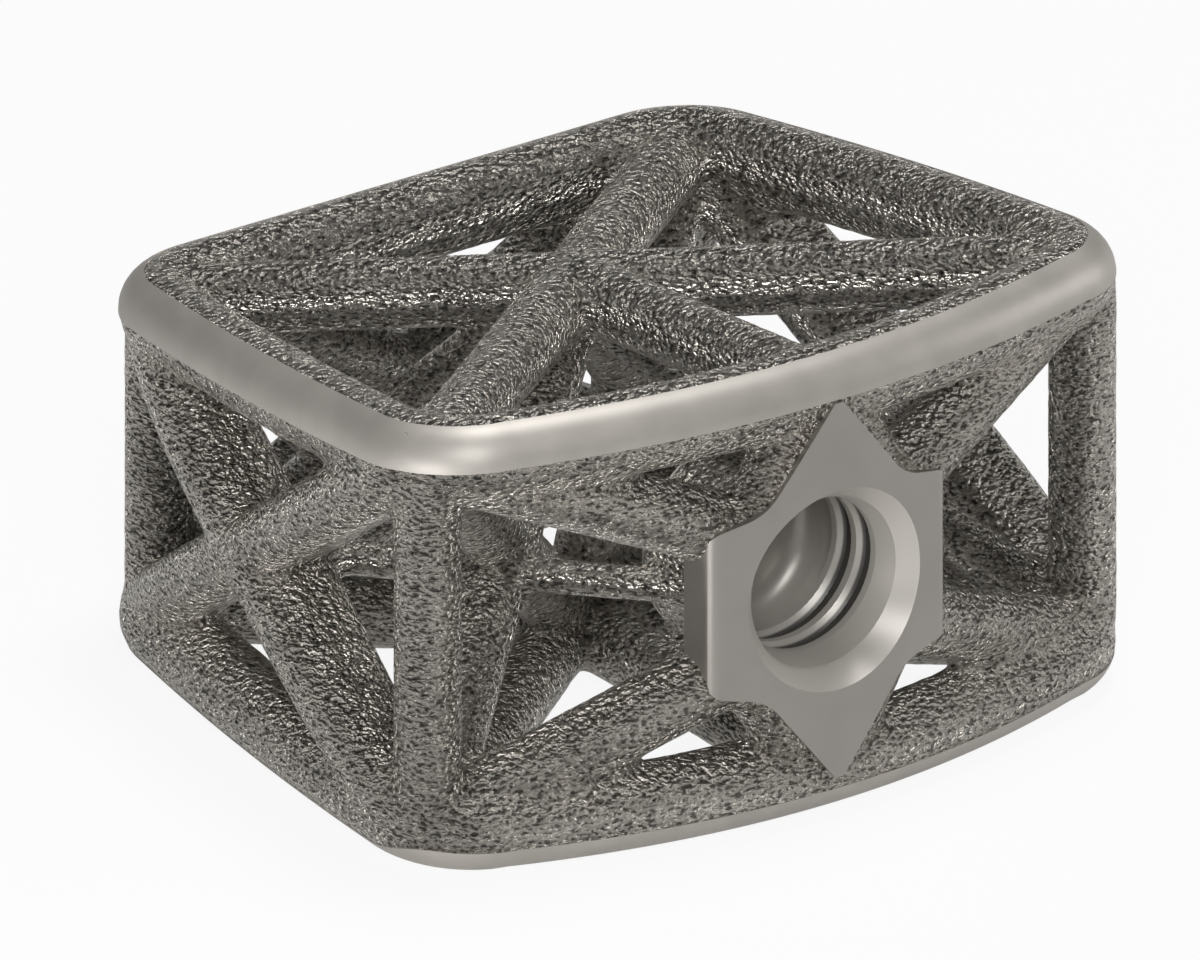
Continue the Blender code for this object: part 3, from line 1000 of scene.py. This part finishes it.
def band_mesh(name, side, ring_radius, rim):
    """A closed band over the outer part of a ring's section; side is +1 for the upper ring."""
    path = ring_path(side)
    up = Matrix.Rotation(-side * math.radians(HALF_LORDOSIS_DEG), 3, "X") @ Vector((0.0, 0.0, 1.0))
    outer = ring_radius + rim.proud / MM
    bm = bmesh.new()
    rows = []
    for k, centre in enumerate(path):
        along = (path[(k + 1) % len(path)] - path[k - 1]).normalized()
        outward = along.cross(up)
        edge = rim.upper_edge_angle if side > 0 else lower_edge(rim, -outward.y)
        section = [(outer, t) for t in range(BAND_STEPS + 1)]
        section += [(outer - rim.thickness / MM, t) for t in range(BAND_STEPS, -1, -1)]
        row = []
        for radius, t in section:
            a = edge + (rim.crown_angle - edge) * t / BAND_STEPS
            row.append(bm.verts.new(centre + radius * (outward * math.cos(a) + side * up * math.sin(a))))
        rows.append(row)
    bridge(bm, rows + rows[:1])
    bmesh.ops.recalc_face_normals(bm, faces=bm.faces)
    return mesh_of(name, bm)


def lower_edge(rim, forward):
    """The lower band's outer edge: high in front, low along the sides and the back."""
    t = min(1.0, max(0.0, (forward - EDGE_TURN[0]) / (EDGE_TURN[1] - EDGE_TURN[0])))
    t = t * t * (3 - 2 * t)
    return rim.side_edge_angle + (rim.lower_edge_angle - rim.side_edge_angle) * t


# Star plate and hole.


def prism_mesh(name, outline, low, high, upright):
    """A closed prism over a plan outline, run along Z, or along Y where upright."""
    bm = bmesh.new()
    rows = []
    for h in (low, high):
        spot = (lambda p, h=h: (p.x, h, p.y)) if upright else (lambda p, h=h: (p.x, p.y, h))
        rows.append([bm.verts.new(spot(p)) for p in outline])
    bridge(bm, rows)
    for row in rows:
        bm.faces.new(row)
    bmesh.ops.recalc_face_normals(bm, faces=bm.faces)
    return mesh_of(name, bm)


def star_outline():
    """The star in X and Z, with rounded notches and rounded ends on its side arms."""
    notch, tip, arm = Vector(NOTCH), Vector(STAR_TIP), Vector(ARM)
    quarter = [tip] + rounded(notch, tip - notch, arm - notch, NOTCH_R, NOTCH_STEPS)
    quarter += rounded(arm, notch - arm, Vector((0.0, -1.0)), ARM_CORNER_R)
    right = quarter + [Vector((p.x, -p.y)) for p in reversed(quarter)]
    left = [Vector((-p.x, p.y)) for p in reversed(right)]
    return right + left


def face_section(edge_radius):
    """The plate's section in X and Y: a wide curve in front, rounded into both sides."""
    edge = Vector((ARM[0], PLATE_FACE_Y + plate_sag(ARM[0])))
    slope = Vector((-1.0, -ARM[0] / PLATE_FACE_R))
    corner = rounded(edge, slope, Vector((0.0, 1.0)), edge_radius, ARM_EDGE_STEPS)
    reach = corner[0].x
    half = []
    for k in range(1, HALF_FACE_STEPS):
        x = reach * k / HALF_FACE_STEPS
        half.append(Vector((x, PLATE_FACE_Y + plate_sag(x))))
    half += corner + [Vector((ARM[0], edge.y + PLATE_DEPTH))]
    mirror = [Vector((-p.x, p.y)) for p in reversed(half)]
    return [Vector((0.0, PLATE_FACE_Y))] + half + mirror


def lead_radius(depth, turn):
    """Wall radius of the lead-in between the countersink and the thread."""
    undercut = (LEAD_R - COUNTERSINK_END_R) * max(0.0, math.cos(2 * math.pi * turn))
    t = min(1.0, (depth - COUNTERSINK_DEPTH) / (THREAD_START + THREAD_PITCH * turn - COUNTERSINK_DEPTH))
    start = COUNTERSINK_END_R + undercut
    return start + (THREAD_CREST_R - start) * t


def thread_radius(phase):
    """Wall radius over one pitch, from the front edge of a crest at phase 0."""
    back = THREAD_CREST_SHARE + THREAD_BACK_SHARE
    front = 1.0 - THREAD_FRONT_SHARE
    if phase < THREAD_CREST_SHARE:
        cut = 0.0
    elif phase < back:
        cut = (phase - THREAD_CREST_SHARE) / THREAD_BACK_SHARE
    elif phase < front:
        cut = 1.0
    else:
        cut = 1.0 - (phase - front) / THREAD_FRONT_SHARE
    return THREAD_CREST_R + (THREAD_ROOT_R - THREAD_CREST_R) * cut


def wall_radius(depth, turn):
    """Wall radius of the hole; turn goes clockwise from +X, seen from the front, from -0.5 to 0.5."""
    start = THREAD_START + THREAD_PITCH * turn
    end = start + THREAD_PITCH * (THREAD_TURNS + THREAD_CREST_SHARE)
    if depth < start:
        return lead_radius(depth, turn)
    if depth > end:
        return THREAD_CREST_R + (POCKET_R - THREAD_CREST_R) * min(1.0, (depth - end) / POCKET_STEP)
    return thread_radius((depth - start) / THREAD_PITCH % 1.0)


def hole_rows():
    """Depths of the wall's rows below the countersink, closer together along the thread."""
    fine = COUNTERSINK_DEPTH + LEAD_STEP
    coarse_end = POCKET_FLOOR - POCKET_FILLET
    turns = THREAD_TURNS + THREAD_CREST_SHARE + 0.5
    thread_end = THREAD_START + THREAD_PITCH * turns + 2 * POCKET_STEP
    step = THREAD_PITCH / PITCH_STEPS
    count = int((thread_end - fine) / step)
    return [fine + step * k for k in range(count + 1)] + [(thread_end + coarse_end) / 2, coarse_end]


def lining_ring(bm, place):
    """A ring of points round the hole, where place gives (radius, depth) for each turn."""
    ring = []
    for k in range(HOLE_SIDES):
        turn = k / HOLE_SIDES - 0.5
        radius, depth = place(turn)
        a = -2 * math.pi * turn
        ring.append(bm.verts.new((radius * math.cos(a), PLATE_FACE_Y + depth, radius * math.sin(a))))
    return ring


def mouth(turn, t=0.0):
    """A point of the countersink, from its mouth in the curved face at 0 to its end at 1."""
    top = plate_sag(COUNTERSINK_R * math.cos(2 * math.pi * turn))
    radius = COUNTERSINK_R + (COUNTERSINK_END_R - COUNTERSINK_R) * t
    return radius, top + (COUNTERSINK_DEPTH - top) * t


def lining_mesh():
    """The hole's wall and floor as a closed cup: countersink, thread, pocket, and an outer shell."""
    bm = bmesh.new()
    rings = []
    outer = COUNTERSINK_R + LINING_WALL
    back = POCKET_FLOOR + LINING_CUT_GAP + LINING_WALL
    rings.append([bm.verts.new((0.0, PLATE_FACE_Y + back, 0.0))])
    rings.append(lining_ring(bm, lambda turn: (outer, back)))
    rings.append(lining_ring(bm, lambda turn: (outer, mouth(turn)[1] + 2 * LINING_WALL)))
    for k in range(MOUTH_STEPS + 1):
        rings.append(lining_ring(bm, lambda turn, k=k: mouth(turn, k / MOUTH_STEPS)))
    for depth in hole_rows():
        rings.append(lining_ring(bm, lambda turn, d=depth: (wall_radius(d, turn), d)))
    for k in range(1, FILLET_STEPS + 1):
        a = math.radians(90.0) * k / FILLET_STEPS
        radius = POCKET_R - POCKET_FILLET * (1 - math.cos(a))
        depth = POCKET_FLOOR - POCKET_FILLET * (1 - math.sin(a))
        rings.append(lining_ring(bm, lambda turn, r=radius, d=depth: (r, d)))
    rings.append([bm.verts.new((0.0, PLATE_FACE_Y + POCKET_FLOOR, 0.0))])
    bridge(bm, rings)
    bmesh.ops.recalc_face_normals(bm, faces=bm.faces)
    return mesh_of("inserter_hole_lining", bm)


def hole_cutter(name, radius, depth):
    """Room for the lining in what surrounds it."""
    profile = [
        (0.0, PLATE_FACE_Y - CUTTER_REACH),
        (radius, PLATE_FACE_Y - CUTTER_REACH),
        (radius, PLATE_FACE_Y + depth),
        (0.0, PLATE_FACE_Y + depth),
    ]
    obj = scratch(name, turned_mesh(name, profile, HOLE_SIDES))
    obj.hide_render = True
    return obj


# Operators.


class CAGE_OT_truss(bpy.types.Operator):
    """Makes the printed truss: rings, arms, posts, braces, inner struts and boss under one skin"""

    bl_idname = "cage.truss"
    bl_label = "Printed Truss"

    def execute(self, context):
        sizes = context.scene.cage_struts
        lines = inner_lines(sizes) + front_lines(sizes) + rear_wall_lines(sizes)
        for side in (-1, 1):
            lines += end_frame_lines(side, sizes) + side_wall_lines(side, sizes)
        solids = [boss_block_mesh(), boss_body_mesh()]
        end_radius = filled_out(sizes.front, sizes)
        solids += [strut_end_mesh(sx, sz, end_radius) for sx in (-1, 1) for sz in (-1, 1)]
        cutter = hole_cutter("boss_hole_cutter", POCKET_R + LINING_CUT_GAP, POCKET_FLOOR + LINING_CUT_GAP)
        mesh = printed_skin("printed_truss", lines, solids, cutter, sizes)
        bpy.data.objects.remove(cutter, do_unlink=True)
        skin = material("printed_titanium_skin")
        for height, above in (("upper", 1.0), ("lower", -1.0)):
            for hand, side in (("left", -1.0), ("right", 1.0)):
                name = f"{height}_{hand}_truss"
                place_piece(name, quarter_of(name, mesh, side, above), skin, TRUSS_SHARP_DEG)
        bpy.data.meshes.remove(mesh)
        return {"FINISHED"}


class CAGE_OT_rims(bpy.types.Operator):
    """Makes the polished bands round the outer edges of both rings"""

    bl_idname = "cage.rims"
    bl_label = "Polished Rims"

    def execute(self, context):
        ring_radius = context.scene.cage_struts.ring / MM
        for name, side in (("upper_rim_band", 1), ("lower_rim_band", -1)):
            mesh = band_mesh(name, side, ring_radius, context.scene.cage_rims)
            place_piece(name, mesh, material("polished_titanium_rim"), RIM_SHARP_DEG)
        return {"FINISHED"}


class CAGE_OT_star_face(bpy.types.Operator):
    """Makes the machined star plate, cut for the hole"""

    bl_idname = "cage.star_face"
    bl_label = "Star Face"

    def execute(self, context):
        front, back = PLATE_FACE_Y - PLATE_DEPTH, PLATE_FACE_Y + plate_sag(ARM[0]) + PLATE_DEPTH
        plate = scratch("star_plate", prism_mesh("star_plate", star_outline(), front, back, True))
        height = STAR_TIP[1] + PLATE_TRIM_MARGIN
        outline = face_section(context.scene.cage_boss.arm_edge / MM)
        section = scratch("face_section", prism_mesh("face_section", outline, -height, height, False))
        cutter = hole_cutter("plate_hole_cutter", COUNTERSINK_R, POCKET_FLOOR)
        combine(plate, "INTERSECT", section)
        combine(plate, "DIFFERENCE", cutter)
        mesh = evaluated_mesh(plate)
        for obj in (section, cutter):
            bpy.data.objects.remove(obj, do_unlink=True)
        place_piece("star_face", mesh, material("machined_titanium_face"), STAR_SHARP_DEG)
        return {"FINISHED"}


class CAGE_OT_hole_lining(bpy.types.Operator):
    """Makes the countersink, the thread and the blind pocket"""

    bl_idname = "cage.hole_lining"
    bl_label = "Threaded Hole"

    def execute(self, context):
        bore = material("machined_titanium_bore")
        place_piece("inserter_hole_lining", lining_mesh(), bore, HOLE_SHARP_DEG)
        return {"FINISHED"}


class CAGE_OT_stage(bpy.types.Operator):
    """Makes the floor, the lights and the camera"""

    bl_idname = "cage.stage"
    bl_label = "Stage"

    def execute(self, context):
        stage = context.scene.cage_stage
        self.make_floor(stage)
        self.make_world(context.scene, stage)
        for name, setting, spot, size in SOFT_BOXES:
            self.soft_box(name, spot, size, getattr(stage, setting))
        self.make_camera(context.scene)
        context.scene.view_settings.view_transform = "Standard"
        return {"FINISHED"}

    def make_floor(self, stage):
        half = FLOOR_HALF_WIDTH
        mesh = bpy.data.meshes.new("floor")
        corners = [(x * half, y * half, FLOOR_Z) for x, y in ((-1, -1), (1, -1), (1, 1), (-1, 1))]
        mesh.from_pydata(corners, [], [(0, 1, 2, 3)])
        mat = bpy.data.materials.new("pale_floor")
        mat.use_nodes = True
        graph = Graph(mat.node_tree)
        paint = graph.add("ShaderNodeBsdfDiffuse", None, {"Color": (*stage.floor, 1.0)})
        glow = graph.add("ShaderNodeEmission", None, {"Color": (1.0, 1.0, 1.0, 1.0), "Strength": 1.0})
        ray = graph.add("ShaderNodeLightPath")
        white = graph.num(ray, "Is Camera Ray") * WHITE_SHARE
        white = white + graph.num(ray, "Is Glossy Ray") * WHITE_SHARE_REFLECTED
        mixed = graph.add("ShaderNodeMixShader", None, {0: white, 1: paint.outputs[0], 2: glow.outputs[0]})
        graph.add("ShaderNodeOutputMaterial", None, {"Surface": mixed.outputs[0]})
        mesh.materials.append(mat)
        scratch("floor", mesh)

    def make_world(self, scene, stage):
        world = bpy.data.worlds.new("studio")
        world.use_nodes = True
        graph = Graph(world.node_tree)
        back = graph.add("ShaderNodeBackground", None, {"Color": STUDIO_TINT, "Strength": stage.world})
        graph.add("ShaderNodeOutputWorld", None, {"Surface": back.outputs[0]})
        scene.world = world

    def soft_box(self, name, spot, size, level):
        """A square soft box aimed at the cage, whose power follows from its radiance."""
        light = bpy.data.lights.new(name, "AREA")
        light.shape = "SQUARE"
        light.size = size
        light.energy = level * math.pi * size ** 2
        obj = bpy.data.objects.new(name, light)
        bpy.context.scene.collection.objects.link(obj)
        obj.location = spot
        aim = Vector((0.0, 0.0, LIGHT_AIM_Z)) - Vector(spot)
        obj.rotation_euler = aim.to_track_quat("-Z", "Y").to_euler()

    def make_camera(self, scene):
        """The photograph's view: square to the picture plane that its edges gave."""
        cam = bpy.data.cameras.new("camera")
        cam.type = "ORTHO"
        cam.ortho_scale = IMAGE_WIDTH_PX * PX * MM
        cam.clip_start, cam.clip_end = CAMERA_CLIP
        obj = bpy.data.objects.new("camera", cam)
        scene.collection.objects.link(obj)
        right = Vector(CAMERA_RIGHT).normalized()
        up = Vector(CAMERA_UP)
        up = (up - right * up.dot(right)).normalized()
        place = cage_to_row()
        turn = place.to_3x3().normalized()
        right_w, up_w = turn @ right, turn @ up
        back_w = right_w.cross(up_w)
        aim = place @ ((right * AIM_RIGHT_PX + up * AIM_UP_PX) * PX)
        axes = Matrix((right_w, up_w, back_w)).transposed().to_4x4()
        obj.matrix_world = Matrix.Translation(aim + back_w * CAMERA_DISTANCE) @ axes
        scene.camera = obj


OPERATORS = (
    CAGE_OT_truss,
    CAGE_OT_rims,
    CAGE_OT_star_face,
    CAGE_OT_hole_lining,
    CAGE_OT_stage,
)


class CAGE_PT_looks(bpy.types.Panel):
    """Lists the cage's pieces and their settings"""

    bl_idname = "CAGE_PT_looks"
    bl_label = "Interbody Cage"
    bl_space_type = "VIEW_3D"
    bl_region_type = "UI"
    bl_category = "Cage"

    def draw(self, context):
        for operator in OPERATORS:
            self.layout.operator(operator.bl_idname)
        for name, group in SETTINGS.items():
            box = self.layout.box()
            for key in group.__annotations__:
                box.prop(getattr(context.scene, name), key)


SETTINGS = {
    "cage_struts": CageStrutSettings,
    "cage_rims": CageRimSettings,
    "cage_boss": CageBossSettings,
    "cage_finish": CageFinishSettings,
    "cage_stage": CageStageSettings,
}


def register():
    for cls in (*SETTINGS.values(), *OPERATORS, CAGE_PT_looks):
        bpy.utils.register_class(cls)
    for name, group in SETTINGS.items():
        setattr(bpy.types.Scene, name, bpy.props.PointerProperty(type=group))


def unregister():
    for name in SETTINGS:
        delattr(bpy.types.Scene, name)
    for cls in reversed((*SETTINGS.values(), *OPERATORS, CAGE_PT_looks)):
        bpy.utils.unregister_class(cls)


def main():
    register()
    for operator in OPERATORS:
        group, name = operator.bl_idname.split(".")
        result = getattr(getattr(bpy.ops, group), name)()
        if result != {"FINISHED"}:
            raise RuntimeError(f"{operator.bl_label} was not made")


if __name__ == "__main__":
    main()
